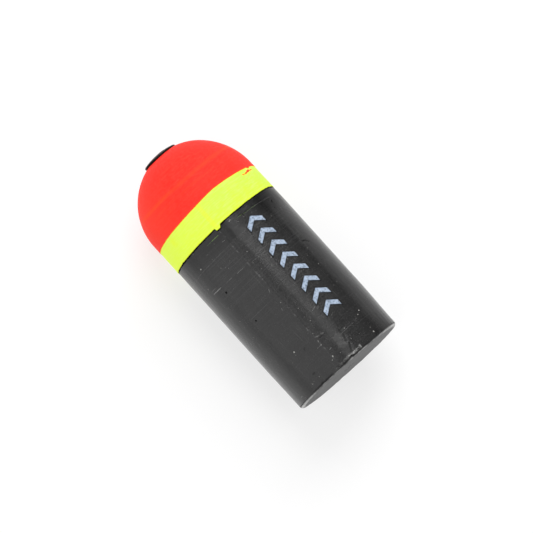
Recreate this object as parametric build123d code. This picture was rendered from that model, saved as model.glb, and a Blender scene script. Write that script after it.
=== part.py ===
from build123d import *
import os
from math import cos, pi, sin, sqrt

# A foam slip float lying on its side. The line runs along X: x = 0 is the flat bottom,
# +X is the domed, painted top, and the bore's centre line is the X axis.

# Driving dimensions, in millimetres and degrees
BODY_DIAMETER = 28.575  # 1-1/8 in
BODY_LENGTH = 63.5  # 2-1/2 in, from the flat bottom to the foam dome's apex
BOTTOM_RIM_RADIUS = 0.8

UNDERCOAT_THICKNESS = 0.04
CHARTREUSE_THICKNESS = 0.04
RED_THICKNESS = 0.05
CHARTREUSE_EDGE = 41.95  # height of the band's lower edge above the bottom
UNDERCOAT_LAP = 0.5  # the chartreuse runs this far past the undercoat
RED_EDGE = 48.5

TUBE_OUTER_DIAMETER = 3.0
TUBE_BORE_DIAMETER = 1.6
FLANGE_DIAMETER = 8.66
FLANGE_THICKNESS = 0.45
FLANGE_RIM_RADIUS = 0.3
MOUTH_RADIUS = 0.35

INK_THICKNESS = 0.03
MARK_ANGLE = -21.4  # of the mark's centre line, from +Z towards +Y
MARK_WIDTH = 4.6  # around the body
MARK_TOP = 38.9  # height of the uppermost chevron's tip
CHEVRON_COUNT = 8
CHEVRON_PITCH = 3.6
CHEVRON_STROKE = 1.3
CHEVRON_RISE = 1.6

# Worked out from the driving dimensions
BODY_RADIUS = BODY_DIAMETER / 2
DOME_CENTRE = BODY_LENGTH - BODY_RADIUS
CHARTREUSE_OFFSET = UNDERCOAT_THICKNESS + CHARTREUSE_THICKNESS
PAINT_OFFSET = CHARTREUSE_OFFSET + RED_THICKNESS
TUBE_RADIUS = TUBE_OUTER_DIAMETER / 2


def rod(radius, start, end):
    """A plain cylinder along X from start to end."""
    plane = Plane(origin=(start, 0, 0), z_dir=(1, 0, 0))
    return extrude(plane * Circle(radius), amount=end - start)


def dome_form(offset, lower_edge):
    """The body's outside, grown by offset, from lower_edge up to the apex."""
    radius = BODY_RADIUS + offset
    apex = (DOME_CENTRE + radius, 0)
    shoulder = (DOME_CENTRE, radius)
    halfway = (DOME_CENTRE + radius * cos(pi / 4), radius * sin(pi / 4))
    outline = [
        Line((lower_edge, 0), (lower_edge, radius)),
        Line((lower_edge, radius), shoulder),
        ThreePointArc(shoulder, halfway, apex),
        Line(apex, (lower_edge, 0)),
    ]
    return revolve(make_face(outline), axis=Axis.X)


def foam_body():
    """The moulded foam, with a rounded bottom rim and the hole for the tube."""
    body = dome_form(0, 0)
    bottom_rim = body.edges().filter_by(GeomType.CIRCLE).sort_by(Axis.X)[0]
    body = fillet(bottom_rim, BOTTOM_RIM_RADIUS)
    return body - rod(TUBE_RADIUS, -1, BODY_LENGTH + 1)


def undercoat():
    """The white base that the fluorescent paints need over black foam."""
    edge = CHARTREUSE_EDGE + UNDERCOAT_LAP
    coat = dome_form(UNDERCOAT_THICKNESS, edge) - dome_form(0, edge)
    return coat - rod(TUBE_RADIUS, edge, BODY_LENGTH + 1)


def chartreuse_coat():
    """The first colour: the band, and the layer that the red lies on."""
    coat = dome_form(CHARTREUSE_OFFSET, CHARTREUSE_EDGE)
    coat -= dome_form(0, CHARTREUSE_EDGE)
    coat -= dome_form(UNDERCOAT_THICKNESS, CHARTREUSE_EDGE + UNDERCOAT_LAP)
    return coat - rod(TUBE_RADIUS, CHARTREUSE_EDGE, BODY_LENGTH + 1)


def red_coat():
    """The dome's top colour, over the chartreuse."""
    coat = dome_form(PAINT_OFFSET, RED_EDGE) - dome_form(CHARTREUSE_OFFSET, RED_EDGE)
    return coat - rod(TUBE_RADIUS, RED_EDGE, BODY_LENGTH + 1)


def on_dome(offset, radius):
    """The point of the dome, grown by offset, that is radius away from the axis."""
    return (DOME_CENTRE + sqrt((BODY_RADIUS + offset) ** 2 - radius**2), radius)


def line_tube():
    """The plastic liner that the line slides through, with its flange on the dome."""
    bore = TUBE_BORE_DIAMETER / 2
    flange = FLANGE_DIAMETER / 2
    flange_offset = PAINT_OFFSET + FLANGE_THICKNESS
    neck = on_dome(PAINT_OFFSET, TUBE_RADIUS)
    under = on_dome(PAINT_OFFSET, (TUBE_RADIUS + flange) / 2)
    under_rim = on_dome(PAINT_OFFSET, flange)
    rim = on_dome(flange_offset, flange)
    crown = on_dome(flange_offset, (bore + flange) / 2)
    mouth = on_dome(flange_offset, bore)
    section = make_face(
        [
            Polyline(mouth, (0, bore), (0, TUBE_RADIUS), neck),
            ThreePointArc(neck, under, under_rim),
            Line(under_rim, rim),
            ThreePointArc(rim, crown, mouth),
        ]
    )
    corners = section.vertices()
    section = fillet(corners.sort_by_distance((*rim, 0))[0], FLANGE_RIM_RADIUS)
    corners = section.vertices()
    section = fillet(corners.sort_by_distance((*mouth, 0))[0], MOUTH_RADIUS)
    return revolve(section, axis=Axis.X)


def chevron(tip):
    """A flat chevron that points to +X, with its tip at x = tip."""
    half = MARK_WIDTH / 2
    outline = [
        (tip, 0),
        (tip - CHEVRON_RISE, half),
        (tip - CHEVRON_RISE - CHEVRON_STROKE, half),
        (tip - CHEVRON_STROKE, 0),
        (tip - CHEVRON_RISE - CHEVRON_STROKE, -half),
        (tip - CHEVRON_RISE, -half),
    ]
    return make_face(Polyline(*outline, close=True))


def printed_mark():
    """A row of chevrons printed along the body, pointing to the end that floats up."""
    skin = rod(BODY_RADIUS + INK_THICKNESS, 1, CHARTREUSE_EDGE)
    skin -= rod(BODY_RADIUS, 1, CHARTREUSE_EDGE)
    pads = []
    for index in range(CHEVRON_COUNT):
        flat = Pos(0, 0, BODY_RADIUS / 2) * chevron(MARK_TOP - index * CHEVRON_PITCH)
        pads += (extrude(flat, amount=BODY_RADIUS) & skin).solids()
    return Rot(-MARK_ANGLE, 0, 0) * Compound(children=pads)


PIECES = {
    "foam_body": foam_body,
    "white_undercoat": undercoat,
    "chartreuse_coat": chartreuse_coat,
    "red_coat": red_coat,
    "line_tube": line_tube,
    "printed_mark": printed_mark,
}

os.makedirs("parts", exist_ok=True)
for name, make in PIECES.items():
    export_step(make(), f"parts/{name}.step")
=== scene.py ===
import math

import bpy
import numpy as np
from mathutils import Matrix, Vector


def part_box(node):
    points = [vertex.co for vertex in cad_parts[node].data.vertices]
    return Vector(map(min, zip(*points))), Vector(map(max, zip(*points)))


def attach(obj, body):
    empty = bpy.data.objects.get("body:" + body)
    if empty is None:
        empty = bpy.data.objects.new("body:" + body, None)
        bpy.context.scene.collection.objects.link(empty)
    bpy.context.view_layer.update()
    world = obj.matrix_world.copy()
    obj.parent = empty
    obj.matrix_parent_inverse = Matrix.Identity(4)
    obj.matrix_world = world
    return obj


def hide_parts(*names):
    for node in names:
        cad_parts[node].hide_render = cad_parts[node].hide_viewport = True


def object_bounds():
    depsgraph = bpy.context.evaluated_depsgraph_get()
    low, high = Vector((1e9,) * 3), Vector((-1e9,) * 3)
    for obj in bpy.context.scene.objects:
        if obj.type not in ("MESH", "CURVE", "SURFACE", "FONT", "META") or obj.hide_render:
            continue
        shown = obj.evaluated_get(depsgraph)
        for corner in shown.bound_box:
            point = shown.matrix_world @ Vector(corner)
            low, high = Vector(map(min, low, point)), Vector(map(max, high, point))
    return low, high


# A foam slip float on its side: a black moulded foam body, a chartreuse band, a red dome,
# a flanged line tube through its axis and a row of printed chevrons.
# Angles run around the body from +Z towards +Y, in degrees. Heights run along +X from the
# flat bottom. Relief and thicknesses are in millimetres, and meshes are made in metres.

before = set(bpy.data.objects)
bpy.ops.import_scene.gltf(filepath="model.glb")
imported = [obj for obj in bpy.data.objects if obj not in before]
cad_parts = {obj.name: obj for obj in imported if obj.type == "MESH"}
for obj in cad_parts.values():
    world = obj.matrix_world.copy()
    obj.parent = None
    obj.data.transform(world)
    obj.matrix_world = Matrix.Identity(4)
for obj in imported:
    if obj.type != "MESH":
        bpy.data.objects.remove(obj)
cad_box = [list(corner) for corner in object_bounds()]
MM = 0.001


def corners(node):
    """A CAD node's lowest and highest corner, in millimetres."""
    low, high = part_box(node)
    return low / MM, high / MM


# Sizes that the CAD model already holds
foam_high = corners("foam_body")[1]
undercoat_high = corners("white_undercoat")[1]
chartreuse_low, chartreuse_high = corners("chartreuse_coat")
red_low, red_high = corners("red_coat")
tube_high = corners("line_tube")[1]
mark_low, mark_high = corners("printed_mark")
BODY_RADIUS = foam_high.y
UNDERCOAT_OFFSET = undercoat_high.y - BODY_RADIUS
CHARTREUSE_OFFSET = chartreuse_high.y - BODY_RADIUS
RED_OFFSET = red_high.y - BODY_RADIUS
BAND_EDGE = chartreuse_low.x
RED_EDGE = red_low.x
FLANGE_RADIUS = tube_high.y
MARK_TOP = mark_high.x
MARK_ANGLE = math.degrees(math.atan2(mark_low.y + mark_high.y, mark_low.z + mark_high.z))

# Driving dimensions that boxes don't give
BODY_LENGTH = 63.5
TUBE_RADIUS = 1.5
BORE_RADIUS = 0.8
BOTTOM_RIM_RADIUS = 0.8
RIM_DEPTH = 0.65  # how far the bottom rim's rounding reaches into the face
RIM_POWER = 2.15  # the rounding is squarer than a circle's
FLANGE_THICKNESS = 0.45
MARK_WIDTH = 4.6
CHEVRON_COUNT = 8
CHEVRON_PITCH = 3.6
CHEVRON_STROKE = 1.3
CHEVRON_RISE = 1.6
INK_THICKNESS = 0.03

DOME_CENTRE = BODY_LENGTH - BODY_RADIUS
# The meridian runs straight up the side and then over the dome, to the tube's hole
MERIDIAN_END = DOME_CENTRE + BODY_RADIUS * math.acos(TUBE_RADIUS / BODY_RADIUS)

PARTING_ANGLE = 9.1
VIEW_ANGLE = 4  # the angle that faces the camera
AROUND = 432  # points around the body
TUBE_AROUND = 144  # points around the tube
rng = np.random.default_rng(11)


# ---- surface mathematics


def turn(angle, centre):
    """The signed difference between two angles, in degrees, the short way round."""
    return (angle - centre + 180) % 360 - 180


def arc(angle, centre):
    """The signed distance around the body from a centre angle, in millimetres."""
    return np.radians(turn(angle, centre)) * BODY_RADIUS


def hump(distance, width):
    return np.exp(-((distance / width) ** 2))


def step(value, start, end):
    """0 at start, 1 at end, and smooth between them."""
    share = np.clip((value - start) / (end - start), 0, 1)
    return share * share * (3 - 2 * share)


def wander(columns, rows):
    """A smooth random field around and along the body, from -1 to 1, as a function."""
    values = rng.uniform(-1, 1, (rows + 1, columns))

    def field(angle, height):
        across = (np.asarray(angle) % 360) / 360 * columns
        along = np.clip(np.asarray(height) / MERIDIAN_END, 0, 0.9999) * rows
        column = np.floor(across).astype(int)
        row = np.floor(along).astype(int)
        u = step(across - column, 0, 1)
        v = step(along - row, 0, 1)
        left, right = column % columns, (column + 1) % columns
        near = values[row, left] * (1 - u) + values[row, right] * u
        far = values[row + 1, left] * (1 - u) + values[row + 1, right] * u
        return near * (1 - v) + far * v

    return field


slow_wander = wander(9, 8)
middle_wander = wander(40, 28)
quick_wander = wander(150, 110)
rim_wander = wander(90, 60)
edge_wander = wander(24, 3)
edge_ripple = wander(110, 3)
streak_wander = wander(120, 4)


def angles_around(count):
    """Angles all round the body, closest together on top and beside the parting lines."""
    even = np.linspace(0, 360, 7201)
    density = 1 + 0.75 * step(90 - np.abs(turn(even, VIEW_ANGLE)), 0, 20)
    density += 0.9 * hump(turn(even, PARTING_ANGLE), 5)
    density += 0.6 * hump(turn(even, PARTING_ANGLE + 180), 5)
    travelled = np.concatenate([[0], np.cumsum((density[1:] + density[:-1]) / 2)])
    wanted = np.linspace(0, travelled[-1], count, endpoint=False)
    return np.interp(wanted, travelled, even)


def on_body(height, angle, out):
    """Points, in millimetres, at a height up the meridian and out from the foam."""
    lean = np.clip((height - DOME_CENTRE) / BODY_RADIUS, 0, None)
    radius = (BODY_RADIUS + out) * np.cos(lean)
    x = np.minimum(height, DOME_CENTRE) + (BODY_RADIUS + out) * np.sin(lean)
    return around_axis(x, radius, angle)


def around_axis(x, radius, angle):
    turned = np.radians(angle)
    x = x + 0 * turned
    return np.stack([x, radius * np.sin(turned), radius * np.cos(turned)], -1)


# ---- meshes


def ring_faces(rows, columns):
    """Quads over closed rings of points, where the last ring meets the first."""
    row = np.arange(rows)[:, None]
    column = np.arange(columns)[None, :]
    above = (row + 1) % rows
    beside = (column + 1) % columns
    corners_round = [
        row * columns + column,
        row * columns + beside,
        above * columns + beside,
        above * columns + column,
    ]
    return np.stack(corners_round, -1).reshape(-1, 4)


def add_object(name, data):
    """A new object in the scene."""
    added = bpy.data.objects.new(name, data)
    bpy.context.scene.collection.objects.link(added)
    return added


def make_piece(name, points, faces, node, material, masks=None):
    """A smooth-shaded mesh piece that rides on the body and stands for a CAD node."""
    mesh = bpy.data.meshes.new(name)
    mesh.from_pydata((points.reshape(-1, 3) * MM).tolist(), [], faces.tolist())
    for key, values in (masks or {}).items():
        layer = mesh.attributes.new(key, "FLOAT", "POINT")
        layer.data.foreach_set("value", np.asarray(values, np.float32).ravel())
    mesh.polygons.foreach_set("use_smooth", [True] * len(mesh.polygons))
    mesh.update()
    mesh.materials.append(material)
    piece = add_object(name, mesh)
    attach(piece, "root")
    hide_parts(node)
    return piece


# ---- materials


class Tree:
    """A short way to add nodes to a node tree."""

    def __init__(self, tree):
        self.tree = tree

    def add(self, kind, inputs=None, **settings):
        """A node with those settings and inputs."""
        node = self.tree.nodes.new(kind)
        for key, value in settings.items():
            setattr(node, key, value)
        self.feed(node, inputs or {})
        return node

    def feed(self, node, inputs):
        """Links an output to each of the inputs, or sets a plain value on it."""
        for key, value in inputs.items():
            if isinstance(value, bpy.types.NodeSocket):
                self.tree.links.new(value, node.inputs[key])
            else:
                node.inputs[key].default_value = value

    def math(self, operation, first, second=0.0, clamp=False):
        inputs = {0: first, 1: second}
        node = self.add("ShaderNodeMath", inputs, operation=operation, use_clamp=clamp)
        return node.outputs[0]

    def times(self, first, second):
        return self.math("MULTIPLY", first, second)

    def plus(self, first, second):
        return self.math("ADD", first, second)

    def most(self, first, second):
        return self.math("MAXIMUM", first, second)

    def vectors(self, operation, inputs, result="Vector"):
        """Vector mathematics on inputs by number."""
        return self.add("ShaderNodeVectorMath", inputs, operation=operation).outputs[result]

    def ramp(self, value, low, high, start=0.0, end=1.0):
        """The value from low to high, taken smoothly to start to end."""
        inputs = {"Value": value, "From Min": low, "From Max": high}
        inputs |= {"To Min": start, "To Max": end}
        node = self.add("ShaderNodeMapRange", inputs, interpolation_type="SMOOTHSTEP")
        return node.outputs["Result"]


def stroke_group():
    """Nodes that draw one soft-edged stroke on the unrolled body, or a speck if Span is 0."""
    group = bpy.data.node_groups.new("stroke", "ShaderNodeTree")
    socket = group.interface.new_socket
    for name in ("Place", "Start", "Span"):
        socket(name, in_out="INPUT", socket_type="NodeSocketVector")
    for name in ("Per Length", "Width", "Strength"):
        socket(name, in_out="INPUT", socket_type="NodeSocketFloat")
    socket("Mask", in_out="OUTPUT", socket_type="NodeSocketFloat")
    tree = Tree(group)
    given = tree.add("NodeGroupInput").outputs
    result = tree.add("NodeGroupOutput")
    offset = tree.vectors("SUBTRACT", {0: given["Place"], 1: given["Start"]})
    along = tree.vectors("DOT_PRODUCT", {0: offset, 1: given["Span"]}, "Value")
    share = tree.times(along, given["Per Length"])
    share = tree.most(tree.math("MINIMUM", share, 1.0), 0.0)
    nearest = tree.vectors("SCALE", {0: given["Span"], 3: share})
    apart = tree.vectors("SUBTRACT", {0: offset, 1: nearest})
    gap = tree.vectors("LENGTH", {0: apart}, "Value")
    inside = tree.ramp(tree.math("DIVIDE", gap, given["Width"]), 1.0, 0.25)
    tree.feed(result, {"Mask": tree.times(inside, given["Strength"])})
    return group


STROKE = stroke_group()


class Nodes(Tree):
    """A short way to build one node material."""

    def __init__(self, name):
        self.material = bpy.data.materials.new(name)
        self.material.use_nodes = True
        super().__init__(self.material.node_tree)
        self.tree.nodes.clear()
        self.shader = self.add("ShaderNodeBsdfPrincipled")
        self.add("ShaderNodeOutputMaterial", {"Surface": self.shader.outputs["BSDF"]})
        metres = self.add("ShaderNodeTexCoord").outputs["Object"]
        self.place = self.scale_vector(metres, [1 / MM] * 3)

    def surface(self, inputs):
        """Feeds the shader."""
        self.feed(self.shader, inputs)

    def scale_vector(self, vector, scale):
        mapping = self.add("ShaderNodeMapping", {"Vector": vector, "Scale": scale})
        return mapping.outputs["Vector"]

    def noise(self, scale, detail=3.0, rough=0.55, stretch=None, place=None):
        """Noise with that many features to the millimetre."""
        vector = place or self.place
        if stretch:
            vector = self.scale_vector(vector, stretch)
        inputs = {"Vector": vector, "Scale": scale, "Detail": detail, "Roughness": rough}
        return self.add("ShaderNodeTexNoise", inputs).outputs["Fac"]

    def mix(self, share, first, second):
        """A blend of two colours."""
        inputs = {"Factor": share, "A": first, "B": second}
        return self.add("ShaderNodeMix", inputs, data_type="RGBA").outputs["Result"]

    def tint(self, base, value, low, high, share, colour):
        """The base, with up to that share of a colour as the value goes from low to high."""
        return self.mix(self.ramp(value, low, high, 0.0, share), base, colour)

    def attribute(self, name):
        return self.add("ShaderNodeAttribute", attribute_name=name).outputs["Fac"]

    def bump(self, height, distance):
        """Fine relief of that height in millimetres, on the shader's normal."""
        node = self.add("ShaderNodeBump", {"Height": height, "Distance": distance * MM})
        self.surface({"Normal": node.outputs["Normal"]})

    def axes(self, vector):
        return self.add("ShaderNodeSeparateXYZ", {"Vector": vector}).outputs

    def unrolled(self, shake=0.0):
        """The distance around the body and the height, in millimetres, as a vector."""
        axes = self.axes(self.place)
        around = self.times(self.math("ARCTAN2", axes["Y"], axes["Z"]), BODY_RADIUS)
        vector = self.add("ShaderNodeCombineXYZ", {"X": around, "Y": axes["X"]}).outputs[0]
        if not shake:
            return vector
        texture = self.add("ShaderNodeTexNoise", {"Vector": self.place, "Scale": 2.4})
        shaken = {0: texture.outputs["Color"], 1: (shake, shake, 0), 2: vector}
        moved = self.vectors("MULTIPLY_ADD", shaken)
        return self.vectors("SUBTRACT", {0: moved, 1: (shake / 2, shake / 2, 0)})

    def strokes(self, place, marks):
        """The strongest of the marks (angle, height, angle, height, width, strength)."""
        found = None
        for start_angle, start, end_angle, end, width, strength in marks:
            first = Vector((math.radians(start_angle) * BODY_RADIUS, start, 0))
            span = Vector((math.radians(end_angle) * BODY_RADIUS, end, 0)) - first
            per_length = 1 / max(span.length_squared, 1e-9)
            inputs = {"Place": place, "Start": first, "Span": span, "Per Length": per_length}
            inputs |= {"Width": width, "Strength": strength}
            mask = self.add("ShaderNodeGroup", inputs, node_tree=STROKE).outputs["Mask"]
            found = self.most(found, mask) if found else mask
        return found

    def specks(self, cell, radius, share):
        """Round specks of that radius, in that share of cells of that size, in mm."""
        inputs = {"Vector": self.place, "Scale": 1 / cell}
        texture = self.add("ShaderNodeTexVoronoi", inputs).outputs
        split = self.add("ShaderNodeSeparateColor", {"Color": texture["Color"]}).outputs
        chosen = self.math("GREATER_THAN", split["Red"], 1 - share)
        bright = self.times(chosen, split["Green"])
        inside = self.ramp(texture["Distance"], radius / cell, radius / cell / 3)
        return self.times(bright, inside)


def grey(level):
    return (level, level, level, 1.0)


# Marks on the foam: (angle, height, angle, height, width, strength)
PALE_MARKS = (
    (-13, 37.2, 20, 37.0, 0.09, 0.10),
    (20, 37.0, 52, 36.85, 0.10, 0.20),
    (52, 36.85, 80, 36.3, 0.10, 0.18),
    (13.3, 31.22, 22.8, 31.27, 0.10, 0.50),
    (29.5, 31.40, 36, 31.42, 0.09, 0.45),
    (45, 31.55, 57.3, 31.65, 0.13, 0.95),
    (50, 32.35, 57.3, 32.35, 0.09, 0.35),
    (-10, 30.8, 6, 30.9, 0.09, 0.22),
    (-57, 39.55, -27, 40.15, 0.10, 0.16),
    (1.0, 8.62, 7.0, 8.72, 0.26, 0.20),
    (6.0, 8.75, 8.6, 9.0, 0.24, 0.42),
    (8.8, 8.2, 9.3, 7.7, 0.17, 0.60),
    (9.3, 7.0, 9.5, 6.95, 0.20, 0.95),
    (9.6, 6.95, 14.0, 6.88, 0.09, 0.40),
    (4.5, 4.95, 6.6, 4.85, 0.13, 0.45),
    (9.2, 11.9, 9.9, 11.3, 0.12, 0.40),
    (-11.7, 13.7, -9.6, 13.3, 0.11, 0.35),
    (-10.0, 14.2, -5.2, 13.9, 0.10, 0.30),
    (-16.6, 39.6, -16.0, 39.95, 0.13, 0.30),
    (-9.6, 39.6, -8.6, 39.95, 0.11, 0.30),
    (10.9, 38.6, 13.6, 38.6, 0.10, 0.45),
    (19.6, 39.4, 20.3, 39.6, 0.10, 0.25),
    (31.2, 38.8, 33.0, 38.9, 0.09, 0.22),
    (11.0, 23.9, 12.4, 23.1, 0.09, 0.50),
    (14.0, 18.9, 14.6, 18.3, 0.10, 0.35),
    (-9.0, 4.9, -7.2, 5.4, 0.16, 0.16),
    (-8.8, 3.4, -3.6, 4.2, 0.40, 0.10),
    (-3.0, 6.4, 1.0, 6.6, 0.10, 0.12),
    (-9.4, 6.3, -5.4, 6.5, 0.14, 0.12),
    (63, 1.7, 66, 1.6, 0.14, 0.45),
    (-26.5, 5.9, -19.5, 5.95, 0.09, 0.15),
)
# Dark marks on the foam, also pressed in by the bump. Along the creases their darkness is
# painted shade in the creases.
DARK_MARKS = (
    (-53.2, 26.3, -50.5, 27.0, 0.13, 0.95),
    (-50.5, 27.0, -45.2, 27.3, 0.15, 0.90),
    (-52.6, 38.7, -51.2, 38.3, 0.24, 0.95),
    (-49.5, 37.1, -47.5, 36.9, 0.16, 0.85),
    (-37.4, 24.7, -37.1, 24.6, 0.17, 0.95),
    (43.8, 29.95, 44.3, 29.9, 0.34, 1.00),
    (40.2, 20.8, 40.6, 20.8, 0.28, 1.00),
    (-12.4, 5.3, -11.4, 4.7, 0.17, 0.35),
    (-11.4, 4.7, -10.1, 3.8, 0.34, 0.35),
    (-11.2, 3.1, -6.8, 1.2, 0.20, 0.38),
    (-11.7, 6.9, -11.5, 6.0, 0.26, 0.55),
    (-19.2, 6.0, -10.9, 5.98, 0.17, 0.50),
    (-17.8, 6.5, -13.5, 6.4, 0.35, 0.25),
    (-23.0, 6.9, -22.9, 5.95, 0.22, 0.45),
    (-32.0, 6.5, -29.5, 6.2, 0.16, 0.55),
    (0.2, 8.2, 6.6, 8.22, 0.15, 0.45),
    (31.8, 3.4, 33.4, 3.4, 0.40, 0.35),
    (22.0, 9.0, 24.0, 8.6, 0.30, 0.25),
)
PAINT_TRAILS = (
    (12.4, 40.35, 20.4, 40.35, 0.12, 0.75),
    (21.6, 40.33, 26.0, 40.30, 0.10, 0.35),
    (-33.0, 40.05, -18.0, 40.25, 0.10, 0.24),
    (-16.2, 40.38, -8.5, 40.48, 0.10, 0.38),
)
# Specks of dust: (angle, height, radius, strength)
DUST = (
    (-5.0, 41.15, 0.19, 0.41),
    (-3.8, 41.05, 0.17, 0.41),
    (48.3, 37.6, 0.22, 0.90),
    (30.8, 34.6, 0.15, 0.33),
    (19.8, 34.4, 0.12, 0.23),
    (25.3, 33.4, 0.14, 0.33),
    (2.6, 33.4, 0.15, 0.31),
    (5.4, 30.6, 0.12, 0.25),
    (-5.7, 27.4, 0.16, 0.39),
    (-10.2, 28.9, 0.16, 0.39),
    (-20.6, 26.3, 0.12, 0.25),
    (56.0, 23.3, 0.16, 0.25),
    (11.0, 19.9, 0.17, 0.36),
    (2.6, 16.3, 0.15, 0.33),
    (-41.9, 21.0, 0.15, 0.36),
    (-45.2, 25.3, 0.17, 0.25),
    (-12.0, 18.0, 0.13, 0.25),
    (-14.2, 15.4, 0.15, 0.28),
    (-12.8, 11.2, 0.15, 0.33),
    (-15.8, 10.3, 0.12, 0.23),
    (2.2, 12.55, 0.19, 0.36),
    (8.2, 10.0, 0.15, 0.23),
    (32.9, 9.85, 0.23, 0.90),
    (33.6, 9.1, 0.12, 0.20),
    (-40.3, 7.25, 0.21, 0.85),
    (-36.2, 6.7, 0.21, 0.48),
    (-16.2, 6.25, 0.19, 0.41),
    (-14.5, 3.5, 0.15, 0.36),
    (-36.9, 2.75, 0.17, 0.31),
    (-36.9, 1.55, 0.22, 0.90),
    (8.5, 3.3, 0.21, 0.90),
    (11.0, 2.75, 0.17, 0.36),
    (1.2, 2.8, 0.15, 0.25),
    (30.6, 2.05, 0.19, 0.28),
    (41.1, 1.9, 0.19, 0.39),
)


def foam_material():
    """Black moulded foam skin: a dull sheen, fine mould lines, dust, scuffs and pits."""
    n = Nodes("black_foam")
    unrolled = n.unrolled()
    shaken = n.unrolled(0.22)
    mottle = n.noise(0.35, 4.0)
    grain = n.noise(3.2, 3.0, 0.6)
    around = n.noise(1.0, 3.0, 0.6, stretch=(0.10, 3.6, 1), place=unrolled)
    along = n.noise(1.0, 3.0, 0.6, stretch=(2.6, 0.12, 1), place=unrolled)
    hairs = n.noise(1.0, 1.0, 0.5, stretch=(0.07, 6.0, 1), place=shaken)
    threads = n.noise(1.0, 2.0, 0.6, stretch=(0.06, 3.6, 1), place=unrolled)
    broken = n.ramp(n.noise(1.6, 2.0), 0.36, 0.56, 0.25, 1.0)
    pale = n.times(n.strokes(shaken, PALE_MARKS), broken)
    dust = n.strokes(shaken, [(a, h, a, h, r, s) for a, h, r, s in DUST])
    dust = n.times(dust, n.ramp(grain, 0.30, 0.55, 0.6, 1.0))
    dark = n.strokes(shaken, DARK_MARKS)
    trail = n.times(n.strokes(unrolled, PAINT_TRAILS), broken)
    shade = n.ramp(mottle, 0.35, 0.68)
    base = n.mix(shade, (0.0050, 0.0049, 0.0050, 1), (0.0085, 0.0083, 0.0083, 1))
    base = n.tint(base, grain, 0.50, 0.74, 0.62, (0.030, 0.029, 0.029, 1))
    base = n.tint(base, around, 0.55, 0.80, 0.35, (0.032, 0.032, 0.033, 1))
    brushed = n.ramp(n.axes(n.place)["X"], 16.0, 30.0, 0.3, 1.0)
    threads = n.times(n.ramp(threads, 0.46, 0.70, 0.0, 0.42), brushed)
    base = n.mix(threads, base, (0.030, 0.030, 0.031, 1))
    base = n.tint(base, along, 0.52, 0.75, 0.48, (0.030, 0.031, 0.029, 1))
    base = n.tint(base, hairs, 0.69, 0.76, 0.30, (0.065, 0.065, 0.065, 1))
    base = n.mix(n.specks(1.1, 0.11, 0.45), base, (0.16, 0.155, 0.15, 1))
    base = n.mix(n.specks(2.6, 0.15, 0.30), base, (0.30, 0.29, 0.27, 1))
    # Painted shade: darker and duller towards the band, which dims the highlight there.
    near_band_shade = n.ramp(n.axes(n.place)["X"], 34.0, 40.3)
    base = n.mix(n.times(near_band_shade, 0.55), base, grey(0.0025))
    # Pale wear, and at the rim's ends a painted highlight.
    base = n.mix(n.attribute("wear_and_highlight"), base, (0.52, 0.52, 0.51, 1))
    base = n.mix(pale, base, (0.22, 0.22, 0.215, 1))
    base = n.mix(dust, base, (0.50, 0.49, 0.46, 1))
    base = n.mix(trail, base, (0.13, 0.24, 0.04, 1))
    # The dark marks, and the dark attribute's painted shade under the band's edge, under the
    # lip, round the rim and in the nick.
    darkest = n.most(dark, n.attribute("dark"))
    base = n.mix(darkest, base, grey(0.0008))
    face = n.attribute("face")
    rough = n.plus(n.ramp(mottle, 0.3, 0.7, 0.20, 0.25), n.ramp(grain, 0.2, 0.8, -0.04, 0.05))
    rough = n.plus(rough, n.times(darkest, 0.5))
    rough = n.math("ADD", rough, n.times(face, 0.25), clamp=True)
    matt = n.most(darkest, n.plus(n.attribute("dull"), n.times(near_band_shade, 0.27)))
    matt = n.most(matt, n.times(face, 0.34))
    sheen = n.ramp(matt, 0.0, 1.0, 0.5, 0.06)
    n.surface({"Base Color": base, "Roughness": rough, "Specular IOR Level": sheen})
    skin = n.plus(n.times(around, 0.5), n.times(along, 0.35))
    skin = n.plus(skin, n.times(grain, 0.5))
    skin = n.plus(skin, n.times(n.noise(0.9, 3.0, 0.55), 0.8))
    skin = n.plus(skin, n.times(n.most(dust, pale), 0.8))
    skin = n.math("SUBTRACT", skin, n.times(dark, 1.6))
    n.bump(skin, 0.038)
    return n.material


# The smudge of red on the band: (angle, height, angle, height, width, strength)
SMUDGE = (
    (-58.8, 47.22, -55.2, 47.15, 0.42, 1.0),
    (-55.2, 47.12, -51.0, 46.98, 0.27, 1.0),
    (-51.0, 46.98, -46.5, 47.12, 0.20, 0.70),
    (-64.5, 47.05, -58.8, 47.12, 0.20, 0.9),
    (-63.0, 47.78, -61.0, 47.72, 0.16, 0.85),
)


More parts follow.
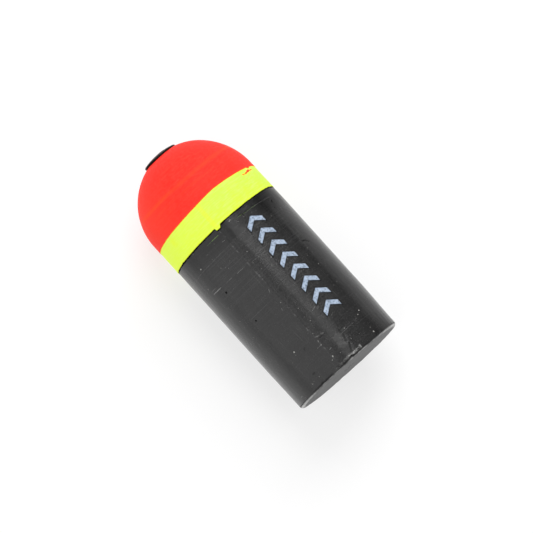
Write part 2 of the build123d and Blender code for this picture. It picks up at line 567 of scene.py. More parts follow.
def red_material():
    """Fluorescent red-orange paint: matte, with thin orange streaks round the dome, a painted
    glow and painted light on its +Y side.
    """
    n = Nodes("red_paint")
    height = n.axes(n.place)["X"]
    drift = n.noise(0.10, 2.0)
    clouds = n.noise(0.5, 4.0)
    fading = n.ramp(n.noise(0.14, 2.0), 0.38, 0.62, 0.45, 1.0)
    streaks = None
    for level, width, strength in ((54.3, 0.75, 0.62), (52.3, 0.5, 0.16), (50.9, 0.4, 0.08)):
        centre = n.plus(n.times(drift, 0.9), level)
        away = n.math("ABSOLUTE", n.math("SUBTRACT", height, centre))
        streak = n.ramp(away, width, 0.0, 0.0, strength)
        streaks = n.most(streaks, streak) if streaks else streak
    unrolled = n.unrolled()
    brushed = n.noise(1.0, 3.0, 0.6, stretch=(0.25, 2.2, 1), place=unrolled)
    mottle = n.noise(1.0, 2.0, stretch=(0.9, 2.1, 1), place=unrolled)
    shade = n.ramp(clouds, 0.35, 0.7)
    base = n.mix(shade, (0.93, 0.027, 0.018, 1), (0.93, 0.034, 0.023, 1))
    base = n.tint(base, brushed, 0.50, 0.76, 0.55, (0.93, 0.050, 0.027, 1))
    base = n.tint(base, mottle, 0.52, 0.34, 0.50, (0.92, 0.022, 0.012, 1))
    base = n.tint(base, mottle, 0.52, 0.72, 0.50, (0.93, 0.045, 0.032, 1))
    # Painted light: lighter on the +Y side, which faces away from the key light.
    base = n.tint(base, n.axes(n.place)["Y"], 3.0, 13.5, 0.5, (0.93, 0.054, 0.030, 1))
    base = n.mix(n.times(streaks, fading), base, (0.93, 0.066, 0.016, 1))
    base = n.mix(n.specks(3.0, 0.12, 0.22), base, (0.95, 0.13, 0.10, 1))
    base = n.mix(n.attribute("thin"), base, (0.95, 0.14, 0.004, 1))
    # The emission is a painted glow, standing in for fluorescence, that keeps the red bright
    # where it is in shade.
    n.surface({"Base Color": base, "Emission Color": base, "Emission Strength": 0.14})
    n.surface({"Roughness": n.ramp(clouds, 0.3, 0.7, 0.60, 0.70), "Specular IOR Level": 0.12})
    n.bump(n.noise(1.3, 3.0), 0.010)
    return n.material


def chartreuse_material():
    """Fluorescent chartreuse paint, yellower where it is thick, brushed round the body, with a
    painted glow and painted light on its +Y side.
    """
    n = Nodes("chartreuse_paint")
    unrolled = n.unrolled()
    brushed = n.noise(1.0, 4.0, 0.6, stretch=(0.22, 2.4, 1), place=unrolled)
    clouds = n.noise(0.25, 3.0)
    pale = n.ramp(n.axes(n.place)["X"], BAND_EDGE, BAND_EDGE + 4.5)
    base = n.mix(pale, (0.385, 0.55, 0.029, 1), (0.372, 0.55, 0.054, 1))
    base = n.tint(base, clouds, 0.35, 0.7, 0.4, (0.345, 0.53, 0.045, 1))
    base = n.tint(base, brushed, 0.46, 0.72, 0.8, (0.402, 0.56, 0.094, 1))
    mottle = n.noise(1.0, 2.0, stretch=(0.6, 2.3, 1), place=unrolled)
    base = n.tint(base, mottle, 0.50, 0.32, 0.5, (0.386, 0.54, 0.022, 1))
    base = n.tint(base, mottle, 0.50, 0.70, 0.5, (0.392, 0.56, 0.100, 1))
    # Painted light: lighter on the +Y side, which faces away from the key light.
    base = n.tint(base, n.axes(n.place)["Y"], -4.0, 11.0, 0.5, (0.490, 0.56, 0.044, 1))
    base = n.mix(n.attribute("thick"), base, (0.470, 0.54, 0.014, 1))
    red = n.strokes(n.unrolled(0.35), SMUDGE)
    base = n.mix(n.ramp(red, 0.04, 0.30), base, (0.62, 0.25, 0.012, 1))
    base = n.mix(n.ramp(red, 0.55, 0.90), base, (0.75, 0.025, 0.004, 1))
    # The emission is a painted glow, standing in for fluorescence, that keeps the band bright
    # where it is in shade.
    n.surface({"Base Color": base, "Emission Color": base, "Emission Strength": 0.80})
    n.surface({"Roughness": n.ramp(brushed, 0.3, 0.7, 0.60, 0.70), "Specular IOR Level": 0.25})
    n.bump(n.plus(brushed, n.times(red, 1.5)), 0.012)
    return n.material


def undercoat_material():
    """Dull white base coat, brushed."""
    n = Nodes("white_undercoat")
    brushed = n.noise(1.0, 3.0, 0.6, stretch=(0.3, 2.0, 1), place=n.unrolled())
    base = n.mix(n.ramp(brushed, 0.35, 0.7), (0.70, 0.70, 0.66, 1), (0.78, 0.78, 0.75, 1))
    n.surface({"Base Color": base, "Roughness": n.ramp(brushed, 0.3, 0.7, 0.55, 0.7)})
    n.bump(brushed, 0.01)
    return n.material


def tube_material():
    """Black moulded plastic, satin, with a faint haze of handling and a cut end painted pale as
    a painted sheen.
    """
    n = Nodes("tube_plastic")
    haze = n.noise(1.4, 4.0)
    shade = n.ramp(haze, 0.4, 0.75)
    base = n.mix(shade, (0.0025, 0.0030, 0.0025, 1), (0.006, 0.0065, 0.0058, 1))
    base = n.mix(n.specks(0.9, 0.06, 0.2), base, (0.10, 0.095, 0.085, 1))
    axes = n.axes(n.place)
    # Painted sheen: the cut end is painted pale grey.
    cut_end = n.ramp(axes["X"], 0.3, 0.1, 0.0, 0.30)
    base = n.mix(cut_end, base, grey(0.36))
    # the cut end is palest at the bore, painted light over the bore's shade, which the squared
    # distance from the axis finds
    outward = n.plus(n.times(axes["Y"], axes["Y"]), n.times(axes["Z"], axes["Z"]))
    bore = BORE_RADIUS**2
    mouth = n.times(cut_end, n.ramp(outward, bore + 0.14, bore + 0.04, 0.0, 3.0))
    base = n.mix(mouth, base, grey(0.36))
    rough = n.plus(n.ramp(haze, 0.3, 0.7, 0.42, 0.52), cut_end)
    n.surface({"Base Color": base, "Roughness": rough, "Specular IOR Level": 0.12})
    n.bump(n.noise(9.0, 2.0), 0.005)
    return n.material


def ink_material():
    """Pale blue-grey printing ink, thin and speckled where the foam shows through."""
    n = Nodes("printing_ink")
    cloud = n.noise(0.9, 3.0)
    holes = n.noise(2.0, 3.0, 0.7)
    base = n.mix(n.ramp(cloud, 0.3, 0.7), (0.33, 0.41, 0.53, 1), (0.42, 0.50, 0.62, 1))
    base = n.tint(base, holes, 0.50, 0.62, 0.75, (0.15, 0.19, 0.26, 1))
    base = n.tint(base, n.noise(2.6, 2.0), 0.56, 0.66, 0.80, (0.06, 0.08, 0.11, 1))
    base = n.mix(n.attribute("ink"), (0.0025, 0.0025, 0.003, 1), base)
    rough = n.ramp(holes, 0.3, 0.7, 0.5, 0.65)
    n.surface({"Base Color": base, "Roughness": rough, "Specular IOR Level": 0.22})
    n.bump(holes, 0.010)
    return n.material


# ---- the foam body

# The torn lip of flash on the bottom rim: angle, lower edge, upper edge, paleness
LIP = np.array([
    (-17.4, 0.60, 0.70, 0.00),
    (-15.6, 0.55, 1.00, 0.10),
    (-11.6, 0.55, 1.05, 0.16),
    (-10.6, 0.60, 1.02, 0.90),
    (-7.6, 0.62, 1.04, 0.95),
    (-6.4, 0.60, 1.08, 0.35),
    (-5.0, 0.80, 1.12, 0.50),
    (-2.4, 0.72, 1.14, 0.70),
    (-1.2, 0.68, 1.14, 0.75),
    (0.2, 0.62, 1.14, 0.22),
    (3.8, 0.52, 1.20, 0.15),
    (8.6, 0.38, 1.08, 0.12),
    (13.6, 0.30, 0.86, 0.13),
    (19.8, 0.25, 0.36, 0.10),
    (20.6, 0.25, 0.25, 0.00),
])
NOTCH_ANGLE = -4.0
CHIP_ANGLE = -3.0
BEAD_ANGLE = -16.2
NICK_ANGLE = -27.0
BACK_ANGLE = -86.0  # the middle of the side that bulges a little
# The sides of the scuffed patch beside the crease: heights, and the angles at them
SCUFF_LEFT = ([1.2, 3.0, 3.6, 4.2, 4.8, 5.2, 6.6], [-6.2, -10.2, -9.5, -9.2, -11.2, -12.2, -11])
SCUFF_RIGHT = ([1.2, 2.8, 3.3, 4.0, 5.0, 6.0, 6.6], [-6.1, -5.2, -2.2, -0.2, -1.2, -1.2, -3.2])


def parting_ridge(angle, height):
    """The raised lines that the mould's two halves leave, uneven along their length."""
    uneven = 0.8 + 0.5 * quick_wander(40, height) + 0.3 * middle_wander(80, height)
    sway = 0.02 * middle_wander(60, height)
    ridge = hump(arc(angle, PARTING_ANGLE) + sway, 0.15)
    ridge = ridge + 0.45 * hump(arc(angle, PARTING_ANGLE + 1.8) + sway, 0.13)
    ridge = ridge + hump(arc(angle, PARTING_ANGLE + 180) + sway, 0.15)
    return 0.050 * uneven * ridge


def side_relief(angle, height):
    """The foam's own unevenness on its side and dome."""
    relief = 0.022 * slow_wander(angle, height) + 0.010 * middle_wander(angle, height)
    relief = relief + 0.004 * quick_wander(angle, height) + 0.010 * streak_wander(angle, height)
    draft = -0.06 * (1 - step(height, 0, 12))
    back = hump(turn(angle, BACK_ANGLE), 50)
    full = 0.12 * back * step(height, 2, 12) * (1 - step(height, 36, 48))
    flat = 0.25 * back * hump(height - 56, 7)
    return relief + draft + full - flat + parting_ridge(angle, height)


def lip_shape(angle, height):
    """How far a point is onto the lip of flash, from 0 to 1."""
    signed = turn(angle, 0)
    torn = 0.07 * quick_wander(angle, 10 + 0 * height)
    lower = np.interp(signed, LIP[:, 0], LIP[:, 1])
    upper = np.interp(signed, LIP[:, 0], LIP[:, 2]) + torn
    on = step(height, lower - 0.08, lower + 0.06)
    on = on * (1 - step(height, upper - 0.07, upper + 0.07))
    return on * (signed > LIP[0, 0]) * (signed < LIP[-1, 0])


def flash_lip(angle, height):
    """A torn lip of flash on the bottom rim, with a bead at one end and a notch in it."""
    pale = np.interp(turn(angle, 0), LIP[:, 0], LIP[:, 3])
    torn = 0.8 + 0.5 * quick_wander(angle * 2, 10 + 0 * height)
    lip = (0.07 + 0.07 * pale) * torn * lip_shape(angle, height)
    bead = 0.16 * hump(arc(angle, BEAD_ANGLE), 0.24) * hump(height - 0.85, 0.38)
    notch = hump(arc(angle, NOTCH_ANGLE), 0.28) * hump(height - 0.60, 0.28)
    return lip + bead - 0.36 * notch


def lip_wear(angle, height):
    """How pale the rubbed lip, bead and chip are, from 0 to 1."""
    signed = turn(angle, 0)
    pale = np.interp(signed, LIP[:, 0], LIP[:, 3])
    pale = pale * np.clip(0.75 + 0.85 * quick_wander(angle * 2.3, height * 4 + 9), 0, 1.3)
    bead = 0.55 * hump(arc(angle, BEAD_ANGLE), 0.17) * hump(height - 0.85, 0.36)
    around = arc(angle, CHIP_ANGLE)
    chip = step(around, -0.50, -0.30) * (1 - step(around, 0.25, 0.60))
    chip = chip * hump(height - 0.10, 0.16)
    return np.maximum.reduce([lip_shape(angle, height) * pale, bead, chip])


def lip_shadow(angle, height):
    """The dark gap under the lip, the notch and the line of shadow round the rim."""
    signed = turn(angle, 0)
    under = step(signed, -16.5, -14.5) * (1 - step(signed, 12, 20))
    level = np.interp(signed, [-8, -2, 2, 10, 18], [0.30, 0.40, 0.42, 0.28, 0.18])
    torn = 0.75 + 0.45 * quick_wander(angle * 2, 14 + 0 * height)
    gap = 0.85 * torn * under * hump(height - level, 0.085)
    tips = step(np.abs(turn(angle, VIEW_ANGLE)), 25, 75)
    line = 0.75 * hump(height - 0.17 - 0.30 * tips, 0.08 + 0.07 * tips)
    line = line * (0.75 + 0.35 * quick_wander(angle, 6 + 0 * height))
    notch = 1.3 * hump(arc(angle, NOTCH_ANGLE), 0.27) * hump(height - 0.62, 0.22)
    spot = 0.9 * hump(arc(angle, BEAD_ANGLE + 1.2), 0.12) * hump(height - 0.95, 0.14)
    return np.clip(np.maximum.reduce([gap, line, notch, spot]), 0, 1)


def dents(angle, height):
    """Creases, a scuffed patch and small dents on the side."""
    crease = 0
    for start_angle, start, end_angle, end, width, depth in (
        (-12.4, 5.3, -10.1, 3.8, 0.30, 0.035),
        (-11.2, 3.1, -6.8, 1.2, 0.26, 0.035),
        (0.2, 8.2, 6.6, 8.22, 0.22, 0.02),
        (-53.2, 26.3, -45.2, 27.3, 0.22, 0.05),
    ):
        across = arc(end_angle, start_angle)
        rise = end - start
        offset = arc(angle, start_angle)
        share = (offset * across + (height - start) * rise) / (across**2 + rise**2)
        share = np.clip(share, 0, 1)
        gap = np.hypot(offset - share * across, height - start - share * rise)
        crease = np.maximum(crease, depth * hump(gap, width))
    patch = hump(arc(angle, -5.5), 1.6) * hump(height - 3.6, 1.0)
    tear = hump(arc(angle, 5.0), 0.9) * hump(height - 8.75, 0.28)
    bruise = hump(arc(angle, 62), 2.2) * hump(height - 12, 4)
    pock = hump(arc(angle, -66), 1.2) * hump(height - 16, 2.5)
    return 0.05 * patch + 0.04 * tear - crease - 0.05 * bruise - 0.04 * pock


def dull_sides(angle):
    """Where handling has left the skin duller: one side, and less so the other."""
    near = 1 - step(np.abs(turn(angle, -90)), 47, 60)
    far = 1 - step(np.abs(turn(angle, 97)), 14, 24)
    return 0.50 * near + 0.34 * far


def foam_rows():
    """The section of the foam: arrays of x, radius, outward x and radius, and height."""
    rows = []
    face_edge = BODY_RADIUS - RIM_DEPTH
    for radius in [TUBE_RADIUS, *np.linspace(TUBE_RADIUS + 0.04, face_edge, 16, endpoint=False)]:
        rows.append((0, radius, -1, 0, 0))
    for lean in np.linspace(0, math.pi / 2, 17, endpoint=False):
        side, out = math.sin(lean) ** (2 / RIM_POWER), math.cos(lean) ** (2 / RIM_POWER)
        x = BOTTOM_RIM_RADIUS * (1 - out)
        out = out ** (RIM_POWER - 1) / BOTTOM_RIM_RADIUS
        slope = side ** (RIM_POWER - 1) / RIM_DEPTH
        steep = math.hypot(out, slope)
        rows.append((x, face_edge + RIM_DEPTH * side, -out / steep, slope / steep, x))
    low_rows = [*np.arange(BOTTOM_RIM_RADIUS, 1.6, 0.08), *np.arange(1.6, 10, 0.18)]
    side_rows = np.linspace(10, BAND_EDGE - 0.5, 112, endpoint=False)
    edge_rows = np.arange(BAND_EDGE - 0.5, BAND_EDGE + 0.15, 0.1)
    hidden_rows = np.linspace(BAND_EDGE + 0.6, MERIDIAN_END, 10)
    for height in [*low_rows, *side_rows, *edge_rows, *hidden_rows]:
        lean = max(0.0, (height - DOME_CENTRE) / BODY_RADIUS)
        out, side = math.sin(lean), math.cos(lean)
        x = min(height, DOME_CENTRE) + BODY_RADIUS * out
        rows.append((x, BODY_RADIUS * side, out, side, height))
    for x in [*np.linspace(foam_high.x, 0, 6)[1:-1], 0.04]:
        rows.append((x, TUBE_RADIUS, 0, 0, x))
    return np.array(rows).T[:, :, None]


def rim_chips(angle, radius, height):
    """The small chips in the bottom rim, as relief below 0."""
    on_rim = hump(height - 0.3, 0.55) * step(radius, BODY_RADIUS - 2, BODY_RADIUS - 0.9)
    return 0.10 * np.minimum(rim_wander(angle, 20 + 0 * height) + 0.1, 0) * on_rim


def face_nick(angle, radius):
    """A nick in the bottom face, near its edge, from 0 to 1."""
    across = np.radians(turn(angle, NICK_ANGLE)) * radius
    return hump(across, 0.9) * hump(radius - (BODY_RADIUS - 1.7), 0.25)


def face_relief(angle, radius):
    """The bottom face's own unevenness, which fades towards the tube."""
    waves = 0.025 * middle_wander(angle, radius * 2) + 0.008 * quick_wander(angle, radius * 3)
    return radius / BODY_RADIUS * waves - 0.15 * face_nick(angle, radius)


def scuffed_patch(angle, height):
    """How scuffed the patch beside the crease is, from 0 to 1."""
    signed = turn(angle, 0)
    left = np.interp(height, *SCUFF_LEFT)
    right = np.interp(height, *SCUFF_RIGHT)
    patch = step(signed, left, left + 0.8) * (1 - step(signed, right - 0.8, right))
    patch = patch * step(height, 2.7, 3.1) * (1 - step(height, 6.3, 6.7))
    return np.clip(patch * (0.55 + 0.65 * quick_wander(angle, height)), 0, 1)


def rim_wear_and_highlight(angle, radius, height):
    """How pale the rim is: rubbed, and most at the two ends of the stretch that shows, where the
    paleness is a painted highlight.
    """
    away = np.abs(turn(angle, VIEW_ANGLE))
    tips = step(away, 25, 75) * (1 - step(away, 102, 120))
    wear_and_highlight = 1 - step(height, 0.10, 0.28 + 0.20 * tips)
    wear_and_highlight = wear_and_highlight * step(radius, BODY_RADIUS - 0.60 - 0.9 * tips**2, BODY_RADIUS - 0.45)
    signed = turn(angle, 0)
    chipped = step(signed, -26, -20) * (1 - step(signed, 0, 4))
    near_rim = 1 - step(away, 95, 115)
    wear_and_highlight = wear_and_highlight * near_rim * (0.45 + 0.45 * tips + 0.25 * chipped)
    rubbed = 0.7 + 0.35 * tips + 0.5 * quick_wander(angle, 30 + radius)
    return wear_and_highlight * np.clip(rubbed, 0, 1)


def band_shadow(angle, height):
    """The dark line under the band's lower edge, uneven in width."""
    gap = height - band_edge(angle)
    reach = 0.27 + 0.12 * quick_wander(angle, 50) + 0.12 * np.clip(rim_wander(angle, 50), 0, 1)
    return step(gap, -reach - 0.10, 0.04 - reach)


def foam_masks(angle, radius, height, out_x, out_radius):
    """Where the foam is pale with wear and a painted highlight, dark with painted shade, part of
    the bottom face, and dulled.
    """
    on_side = step(out_radius, 0.0, 0.6)
    on_face = step(-out_x, 0.7, 1.0)
    past_tube = step(radius, TUBE_RADIUS + 0.2, TUBE_RADIUS + 2)
    flecks = step(quick_wander(20, height * 1.3), -0.1, 0.9)
    flecks = flecks * hump(arc(angle, PARTING_ANGLE), 0.13)
    wear_and_highlight = 0.76 * lip_wear(angle, height) + 0.035 * scuffed_patch(angle, height) + 0.12 * flecks
    # Painted shade under the lip and round the rim, and in the nick on the bottom face.
    low_dark = lip_shadow(angle, height) * step(out_radius, 0.25, 0.5)
    nick = 0.6 * face_nick(angle, radius) * on_face * past_tube
    dull = dull_sides(angle) + 0.14 * (1 - step(height, 1, 7))
    return {
        "wear_and_highlight": np.clip(wear_and_highlight * on_side + rim_wear_and_highlight(angle, radius, height), 0, 1),
        "dark": np.clip(np.maximum.reduce([band_shadow(angle, height), low_dark, nick]), 0, 1),
        "face": on_face + 0 * angle,
        "dull": np.maximum(dull, 0.6 * lip_shape(angle, height)) * on_side,
    }


def foam_body():
    angles = angles_around(AROUND)[None, :]
    x, radius, out_x, out_radius, height = foam_rows()
    # rows near the band follow its uneven edge
    follow = (band_edge(angles) - BAND_EDGE) * step(height, 12, BAND_EDGE)
    follow = follow * (1 - step(height, BAND_EDGE + 0.4, DOME_CENTRE)) * (out_radius != 0)
    x = x + follow
    height = height + follow
    relief = side_relief(angles, height) + dents(angles, height) + flash_lip(angles, height)
    relief = relief * step(out_radius, 0.0, 0.6) + rim_chips(angles, radius, height)
    on_face = step(-out_x, 0.7, 1.0) * step(radius, TUBE_RADIUS + 0.2, TUBE_RADIUS + 2)
    relief = relief + on_face * face_relief(angles, radius)
    in_hole = (out_x == 0) & (out_radius == 0)
    relief = np.where(in_hole, 0, relief)
    points = around_axis(x + out_x * relief, radius + out_radius * relief, angles)
    masks = foam_masks(angles, radius, height, out_x, out_radius)
    faces = ring_faces(len(x), AROUND)
    return make_piece(
        "foam_body_skin", points, faces, "foam_body", foam_material(), masks
    )


# ---- paint


def band_edge(angle):
    """The height of the chartreuse's lower edge, with a run of paint on the parting line."""
    fall = 1 - np.cos(np.radians(turn(angle, -6)))
    level = BAND_EDGE + 0.02 - 0.74 * fall
    level = level + 0.04 * edge_wander(angle, 10) + 0.035 * edge_ripple(angle, 10)
    nicks = np.clip(quick_wander(angle, 70 + 0 * np.asarray(angle)) - 0.45, 0, 1)
    level = level + 0.22 * nicks
    around = arc(angle, 7.6)
    run = step(around, -0.95, -0.35) * (1 - step(around, 0.62, 0.74))
    return level - 0.66 * run


def red_edge(angle):
    """The height of the red's lower edge: a slanting line with its peak near the top."""
    slant = np.degrees(np.arcsin(0.998 * np.cos(np.radians(turn(angle, -13.5)))))
    level = RED_EDGE - 1.34 + 0.0195 * slant + 0.13 * np.sin(np.radians(angle))
    level = level + 0.05 * edge_wander(angle, 40) + 0.025 * edge_ripple(angle, 40)
    around = arc(angle, -59)
    lobe = step(around, -1.6, -0.9) * (1 - step(around, -0.15, 0.15))
    return level - 0.28 * lobe


COAT_ROOT = 0.03  # how far a coat's edge dips into what it covers
EDGE_ROWS = np.array([0, 0.04, 0.09, 0.15, 0.23, 0.33])  # above the coat's lower edge
EDGE_ZONE = 0.47  # where the even rows begin, above the same edge


def coat(name, node, material, edge, base, offset, rows, fine_top, masks):
    """A coat of paint: a thin closed skin with a rounded lower edge.

    Base and offset are the heights over the foam of its underside and its top, and rows
    is the number of rings from its edge up to fine_top.
    """
    angles = angles_around(AROUND)[None, :]
    low = edge(angles)
    near_edge = low + EDGE_ROWS[:, None]
    share = np.linspace(0, 1, rows)[:, None]
    rising = low + EDGE_ZONE + share * (fine_top - EDGE_ZONE - low)
    heights = [near_edge, rising]
    if fine_top < MERIDIAN_END:
        over = np.linspace(fine_top, MERIDIAN_END, 20)[1:, None]
        heights.append(over + 0 * low)
    outer = np.concatenate(heights)
    rise = step(outer - low, -0.04, 0.16)
    bead = 0.35 * hump(outer - low - 0.2, 0.15) * rise
    thickness = base - COAT_ROOT + (offset - base + COAT_ROOT) * (rise + bead)
    ripple = 0.006 * middle_wander(angles + 13, outer) * rise
    top = on_body(outer, angles, side_relief(angles, outer) + thickness + ripple)
    inner = low + 0.1 + np.linspace(1, 0, 14)[:, None] * (MERIDIAN_END - low - 0.1)
    under = on_body(inner, angles, side_relief(angles, inner) + base - COAT_ROOT - 0.005)
    layers = {}
    for key, mask in masks.items():
        hidden = np.zeros(inner.shape)
        layers[key] = np.concatenate([mask(angles, outer, low), hidden])
    points = np.concatenate([top, under])
    faces = ring_faces(len(points), AROUND)
    return make_piece(name, points, faces, node, material, layers)


def thick_paint(angle, height, low):
    """Where chartreuse pooled: beside its lower edge and along the parting line."""
    around = arc(angle, PARTING_ANGLE - 0.6)
    pool = 0.60 * step(around, -0.75, -0.35) * (1 - step(around, 0.30, 0.62))
    crest = 0.9 * hump(arc(angle, PARTING_ANGLE + 0.6), 0.10)
    pool = np.maximum(pool, crest) * (0.8 + 0.3 * middle_wander(angle, height))
    patch = 0.5 * hump(arc(angle, 51), 0.8) * hump(height - 46.2, 0.8)
    edge = 0.8 * hump(height - low - 0.10, 0.15)
    return np.clip(np.maximum.reduce([edge, pool, patch]), 0, 1)


def thin_paint(angle, height, low):
    """Where the red thins to orange, at its edge."""
    return 0.9 * hump(height - low - 0.03, 0.16) + 0 * angle


def undercoat_edge(angle):
    return band_edge(angle) + 0.25


def white_undercoat():
    return coat(
        "white_undercoat_skin", "white_undercoat", undercoat_material(),
        undercoat_edge, 0.0, UNDERCOAT_OFFSET, 24, DOME_CENTRE + 2, {},
    )


def chartreuse_coat():
    return coat(
        "chartreuse_coat_skin", "chartreuse_coat", chartreuse_material(),
        band_edge, 0.0, CHARTREUSE_OFFSET, 34, DOME_CENTRE + 2, {"thick": thick_paint},
    )


def red_coat():
    return coat(
        "red_coat_skin", "red_coat", red_material(),
        red_edge, CHARTREUSE_OFFSET, RED_OFFSET, 90, MERIDIAN_END, {"thin": thin_paint},
    )


# ---- tube and print

FLANGE_LEAN = 1.6  # degrees that the flange sits askew on the dome


def line_tube():
    """The liner and its flange: a convex washer that sits a little askew on the dome."""
    crown = RED_OFFSET + FLANGE_THICKNESS
    round_over = 0.32  # the radius of the flange's edge

    def on_dome(offset, radius):
        return DOME_CENTRE + math.sqrt((BODY_RADIUS + offset) ** 2 - radius**2)

    rows = [(x, BORE_RADIUS) for x in [*np.linspace(BODY_LENGTH, 0.04, 23), 0]]
    rows += [(0, BORE_RADIUS + 0.04), (0, TUBE_RADIUS - 0.04)]
    rows += [(x, TUBE_RADIUS) for x in [0, *np.linspace(0.04, BODY_LENGTH - 0.4, 23)]]
    for radius in np.linspace(TUBE_RADIUS + 0.15, FLANGE_RADIUS - 0.08, 10):
        rows.append((on_dome(RED_OFFSET - 0.02, radius), radius))
    rim_radius = FLANGE_RADIUS - round_over
    rim_x = on_dome(crown, rim_radius) - round_over
    for lean in np.linspace(0, math.pi / 2 - 0.25, 8):
        radius = rim_radius + round_over * math.cos(lean)
        rows.append((rim_x + round_over * math.sin(lean), radius))
    mouth_round = 0.35  # the radius of the bore's upper mouth
    for radius in np.linspace(rim_radius - 0.15, BORE_RADIUS + mouth_round, 16):
        rows.append((on_dome(crown, radius), radius))
    mouth_x = on_dome(crown, BORE_RADIUS + mouth_round) - mouth_round
    for lean in np.linspace(0.2, math.pi / 2, 7):
        radius = BORE_RADIUS + mouth_round * (1 - math.sin(lean))
        rows.append((mouth_x + mouth_round * math.cos(lean), radius))
    x, radius = np.array(rows).T[:, :, None]
    angles = np.linspace(0, 360, TUBE_AROUND, endpoint=False)[None, :]
    on_flange = step(x, BODY_LENGTH - 3, BODY_LENGTH - 1.5)
    on_flange = on_flange * step(radius, TUBE_RADIUS, TUBE_RADIUS + 0.8)
    lean = math.tan(math.radians(FLANGE_LEAN)) * radius * np.sin(np.radians(angles))
    shift = on_flange * (lean - 0.01 + 0.012 * middle_wander(angles, 30 + radius))
    points = around_axis(x, radius, angles)
    points[..., 0] += shift
    faces = ring_faces(len(rows), TUBE_AROUND)
    return make_piece(
        "line_tube_skin", points, faces, "line_tube", tube_material()
    )


INK_BITE = 0.25  # how far the ink's dark edge reaches past a stroke


def printed_mark():
    """Chevrons of ink with ragged edges, in a dark line where the ink bit into the foam."""
    rows, columns = 67, 19  # points across and along a chevron
    half = MARK_WIDTH / 2
    across = np.linspace(-half - INK_BITE, half + INK_BITE, rows)[:, None]
    along = np.linspace(-INK_BITE, CHEVRON_STROKE + INK_BITE, columns)[None, :]
    points = []
    faces = []
    inks = []
    for index in range(CHEVRON_COUNT):
        tip = MARK_TOP - index * CHEVRON_PITCH
        height = tip - CHEVRON_RISE * np.abs(across) / half - along
        angle = MARK_ANGLE + np.degrees((across + 0 * along) / BODY_RADIUS)
        ragged = 0.05 * rng.uniform(-1, 1, (2, rows, 1))
        ragged_ends = 0.05 * rng.uniform(-1, 1, (1, columns))
        inside = np.minimum(along - ragged[0], CHEVRON_STROKE - ragged[1] - along)
        inside = np.minimum(inside, half - ragged_ends - np.abs(across))
        foam = side_relief(angle, height) + dents(angle, height)
        thick = 0.004 + INK_THICKNESS * step(inside, -0.02, 0.10)
        top = on_body(height, angle, foam + thick)
        under = on_body(height, angle, foam - 0.04)
        start = len(points) * 2 * rows * columns
        points.append(np.stack([top, under]))
        inks.append(np.stack([step(inside, -0.03, 0.05)] * 2))
        faces.append(sheet_faces(rows, columns) + start)
    return make_piece(
        "printed_mark_ink", np.concatenate(points), np.concatenate(faces), "printed_mark",
        ink_material(), {"ink": np.concatenate(inks)},
    )


def sheet_faces(rows, columns):
    """Quads that close a top grid of points and the grid under it into one solid."""
    row = np.arange(rows - 1)[:, None]
    column = np.arange(columns - 1)[None, :]
    first = row * columns + column
    top = np.stack([first, first + 1, first + columns + 1, first + columns], -1).reshape(-1, 4)
    under = top[:, ::-1] + rows * columns
    edge = [*range(columns)]
    edge += [r * columns + columns - 1 for r in range(1, rows)]
    edge += [(rows - 1) * columns + c for c in range(columns - 2, -1, -1)]
    edge += [r * columns for r in range(rows - 2, 0, -1)]
    edge = np.array(edge)
    beside = np.roll(edge, -1)
    side = np.stack([beside, edge, edge + rows * columns, beside + rows * columns], -1)
    return np.concatenate([top, under, side])


# ---- scene


def floor_material():
    """The lit white top of a light table."""
    n = Nodes("white_table")
    n.surface({
        "Base Color": n.mix(n.noise(0.02, 2.0), grey(0.330), grey(0.340)),
        "Roughness": 0.9,
        "Specular IOR Level": 0.0,
        "Emission Color": grey(1),
        "Emission Strength": 0.665,
    })
    return n.material


def floor():
    """A level floor, 3 m square, that the float lies on."""
    half = 1.5
    level = cad_box[0][2]
    mesh = bpy.data.meshes.new("floor")
    sides = ((-half, -half), (half, -half), (half, half), (-half, half))
    mesh.from_pydata([(x, y, level) for x, y in sides], [], [(0, 1, 2, 3)])
    mesh.materials.append(floor_material())
    add_object("floor", mesh)


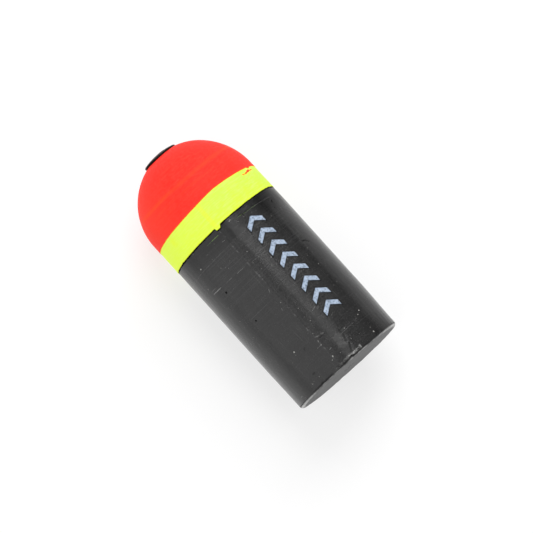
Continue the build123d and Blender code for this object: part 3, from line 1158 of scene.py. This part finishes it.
def soft_box(name, direction, distance, size, radiance):
    """A lit panel of that size and brightness, which looks at the float's middle."""
    data = bpy.data.lights.new(name, "AREA")
    data.shape = "RECTANGLE"
    data.size, data.size_y = size
    data.energy = radiance * math.pi * size[0] * size[1]
    lamp = add_object(name, data)
    away = Vector(direction).normalized()
    across = Vector((1, 0, 0))
    up = away.cross(across).normalized()
    across = up.cross(away).normalized()
    lamp.location = Vector((BODY_LENGTH / 2 * MM, 0, 0)) + away * distance
    lamp.rotation_mode = "QUATERNION"
    lamp.rotation_quaternion = Matrix((across, up, away)).transposed().to_quaternion()


def studio():
    """A pale surround, a long strip overhead, a key beyond the dome and a wide fill."""
    world = bpy.data.worlds.new("surround")
    bpy.context.scene.world = world
    world.use_nodes = True
    background = world.node_tree.nodes["Background"]
    background.inputs["Color"].default_value = (1, 1, 1, 1)
    background.inputs["Strength"].default_value = 0.45
    soft_box("strip", (-0.30, -0.25, 1.0), 0.50, (1.00, 0.20), 0.95)
    soft_box("key", (0.50, -0.52, 0.78), 0.60, (0.32, 0.60), 4.5)
    soft_box("fill", (0.08, 0.80, 0.75), 0.90, (0.70, 1.60), 0.82)
    bpy.context.scene.view_settings.view_transform = "Standard"


CAMERA_AZIMUTH = 228.04
CAMERA_ELEVATION = 84.07
LENS = 600.0  # a long lens, because the view is almost free of perspective
SENSOR = 36.0
FRAME_WIDTH = 119.1  # of the view at the float's middle, in millimetres
AIM_RIGHT = 2.75  # the view's centre is this far right of the float's middle
AIM_DOWN = 1.1


def camera():
    data = bpy.data.cameras.new("camera")
    data.lens = LENS
    data.sensor_width = SENSOR
    data.clip_end = 10
    eye = add_object("camera", data)
    azimuth = math.radians(CAMERA_AZIMUTH)
    elevation = math.radians(CAMERA_ELEVATION)
    level = math.cos(elevation)
    back = Vector((math.sin(azimuth) * level, -math.cos(azimuth) * level, math.sin(elevation)))
    facing = (-back).to_track_quat("-Z", "Y")
    right = facing @ Vector((1, 0, 0))
    down = facing @ Vector((0, -1, 0))
    aim = Vector((BODY_LENGTH / 2, 0, 0)) + right * AIM_RIGHT + down * AIM_DOWN
    eye.location = (aim + back * FRAME_WIDTH * LENS / SENSOR) * MM
    eye.rotation_mode = "QUATERNION"
    eye.rotation_quaternion = facing
    bpy.context.scene.camera = eye


foam_body()
white_undercoat()
chartreuse_coat()
red_coat()
line_tube()
printed_mark()
floor()
studio()
camera()
